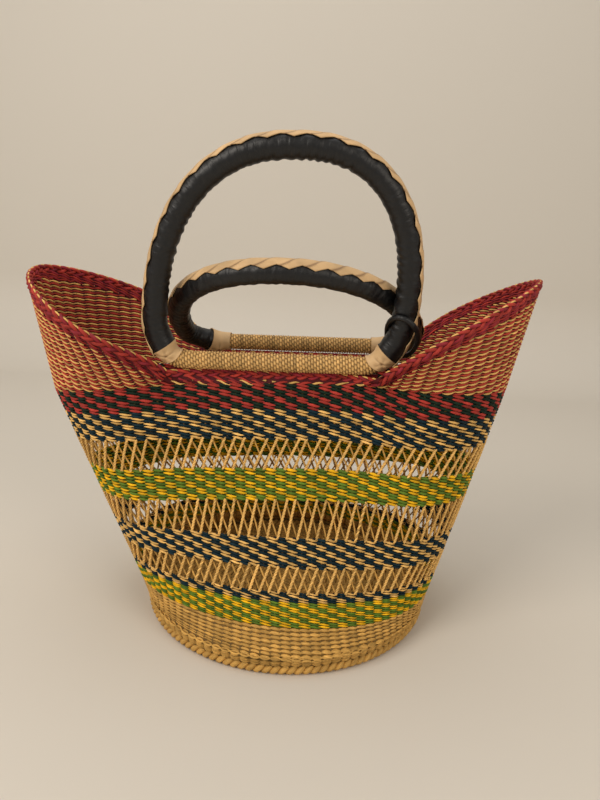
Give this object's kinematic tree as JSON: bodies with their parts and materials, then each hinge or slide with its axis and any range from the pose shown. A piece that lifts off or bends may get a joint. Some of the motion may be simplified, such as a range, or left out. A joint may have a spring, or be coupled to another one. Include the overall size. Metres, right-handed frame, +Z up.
{
  "type": "woven market basket",
  "caption": "Twined straw shopping basket with a round foot, pinched mouth, raised wing sides, striped checks, openwork bands and two folding leather-covered D handles.",
  "frame": {"origin": "on the table, under the middle of the mouth: the middle of the part's bounding box in plan, at its lowest level", "axes": "+Z up, +X along the mouth from the left wing to the right wing, -Y towards the side of the upright front handle"},
  "size_m": [0.5284, 0.32, 0.4897],
  "materials": {
    "straw_natural": "natural twined straw, uneven, matt",
    "straw_base": "natural straw weave, matt",
    "straw_green_yellow": "green and yellow dyed straw checks, matt",
    "straw_navy_cream": "dark blue-green and cream straw checks, matt",
    "straw_openwork": "bare slanted straw stakes, matt",
    "straw_red_green": "red and dark green straw checks, matt",
    "straw_red_cream": "red and cream straw checks, matt",
    "straw_rim": "red plaited straw border, matt",
    "straw_core": "bundle of straw, matt",
    "straw_wrap": "fine twisted straw cord, slight sheen",
    "leather_black": "black goat leather, wrinkled, low sheen",
    "leather_tan": "undyed tan leather, matt"
  },
  "bodies": {
    "body": {"base_disc": "straw_base", "foot_rope": "straw_natural", "natural_band": "straw_natural", "lower_green_yellow_band": "straw_green_yellow", "lower_navy_cream_band": "straw_navy_cream", "lower_openwork_band": "straw_openwork", "middle_navy_cream_band": "straw_navy_cream", "middle_openwork_band": "straw_openwork", "upper_green_yellow_band": "straw_green_yellow", "upper_openwork_band": "straw_openwork", "upper_navy_cream_band": "straw_navy_cream", "red_green_band": "straw_red_green", "wing_left": "straw_red_cream", "wing_right": "straw_red_cream", "rim_border": "straw_rim"},
    "front_handle": {"front_core": "straw_core", "front_bar_wrap": "straw_wrap", "front_sleeve": "leather_black", "front_lace": "leather_tan", "front_left_patch": "leather_tan", "front_right_patch": "leather_tan", "keeper_ring": "leather_black"},
    "back_handle": {"back_core": "straw_core", "back_bar_wrap": "straw_wrap", "back_sleeve": "leather_black", "back_lace": "leather_tan", "back_left_patch": "leather_tan", "back_right_patch": "leather_tan"}
  },
  "joints": [
    {"name": "front_handle_swing", "type": "hinge", "parent": "body", "child": "front_handle", "pos_m": [-0.0065, -0.052, 0.28029], "axis": [0.9999, 0, 0.0163], "range_deg": [0, 30]},
    {"name": "back_handle_swing", "type": "hinge", "parent": "body", "child": "back_handle", "pos_m": [0.015, 0.0585, 0.28064], "axis": [-0.9999, 0, -0.0163], "range_deg": [0, 88]}
  ]
}
